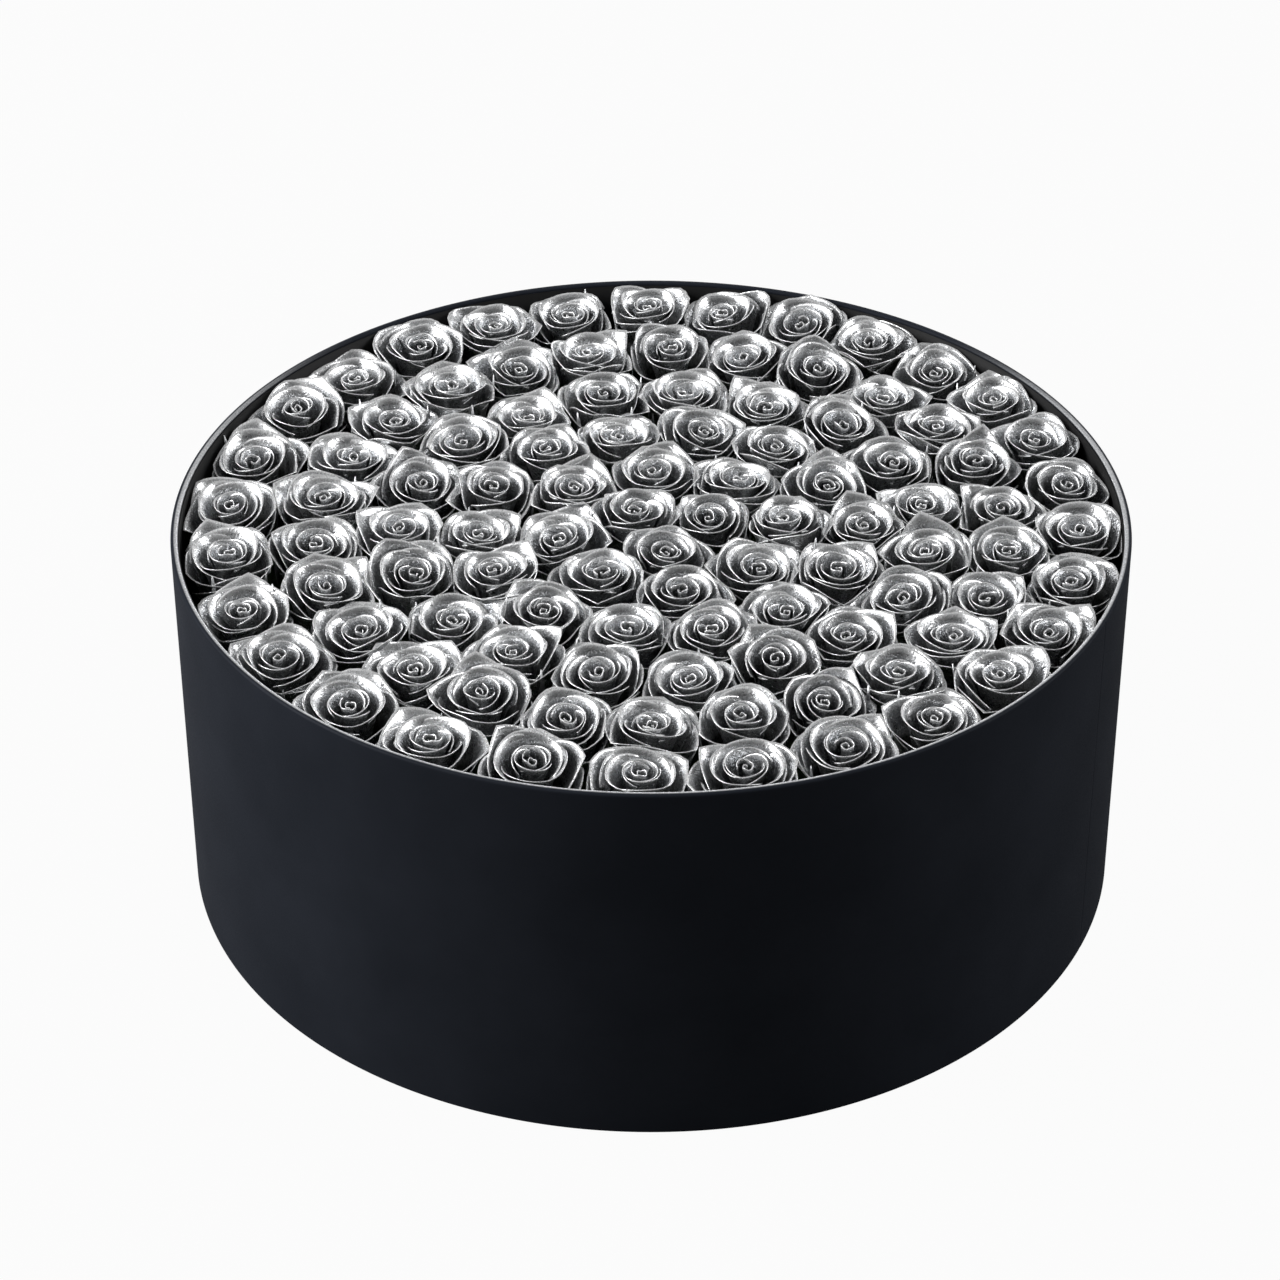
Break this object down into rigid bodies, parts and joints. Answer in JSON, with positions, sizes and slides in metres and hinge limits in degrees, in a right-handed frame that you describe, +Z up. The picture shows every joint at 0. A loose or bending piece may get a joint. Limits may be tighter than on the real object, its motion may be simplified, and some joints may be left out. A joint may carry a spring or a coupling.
{
  "type": "flower box",
  "caption": "Round rigid box covered in dark paper, packed wall to wall with silver rose heads that stand in a lift-out tub of foam.",
  "frame": {"origin": "centre of the underside of the box, on the table", "axes": "+Z up along the box's axis; -Y towards the viewer in front of the box; +X to the viewer's right, with the wrap's butt seam 24.4 degrees from +X towards -Y"},
  "size_m": [0.46, 0.4599, 0.193],
  "materials": {
    "grey_board": "matte",
    "wrap_paper": "satin",
    "lining_paper": "matte",
    "tub_plastic": "matte",
    "dry_foam": "matte",
    "stem": "satin",
    "calyx": "satin",
    "silver_petal": "satin",
    "silver_heart": "satin"
  },
  "bodies": {
    "box": {"wall_board": "grey_board", "wall_wrap": "wrap_paper", "wall_lining": "lining_paper", "base_board": "grey_board", "base_paper": "wrap_paper", "floor_paper": "lining_paper"},
    "arrangement": {"liner_tub": "tub_plastic", "foam_bricks": "dry_foam", "middle_ring_stems": "stem", "second_ring_stems": "stem", "third_ring_stems": "stem", "fourth_ring_stems": "stem", "fifth_ring_stems": "stem", "rim_ring_stems": "stem", "middle_ring_calyxes": "calyx", "second_ring_calyxes": "calyx", "third_ring_calyxes": "calyx", "fourth_ring_calyxes": "calyx", "fifth_ring_calyxes": "calyx", "rim_ring_calyxes": "calyx", "middle_ring_outer_petals": "silver_petal", "second_ring_outer_petals": "silver_petal", "third_ring_outer_petals": "silver_petal", "fourth_ring_outer_petals": "silver_petal", "fifth_ring_outer_petals": "silver_petal", "rim_ring_outer_petals": "silver_petal", "middle_ring_middle_petals": "silver_petal", "second_ring_middle_petals": "silver_petal", "third_ring_middle_petals": "silver_petal", "fourth_ring_middle_petals": "silver_petal", "fifth_ring_middle_petals": "silver_petal", "rim_ring_middle_petals": "silver_petal", "middle_ring_inner_petals": "silver_petal", "second_ring_inner_petals": "silver_petal", "third_ring_inner_petals": "silver_petal", "fourth_ring_inner_petals": "silver_petal", "fifth_ring_inner_petals": "silver_petal", "rim_ring_inner_petals": "silver_petal", "middle_ring_hearts": "silver_heart", "second_ring_hearts": "silver_heart", "third_ring_hearts": "silver_heart", "fourth_ring_hearts": "silver_heart", "fifth_ring_hearts": "silver_heart", "rim_ring_hearts": "silver_heart"}
  },
  "joints": [
    {"name": "arrangement_lift", "type": "slide", "parent": "box", "child": "arrangement", "axis": [0, 0, 1], "range_m": [0, 0.2]}
  ]
}
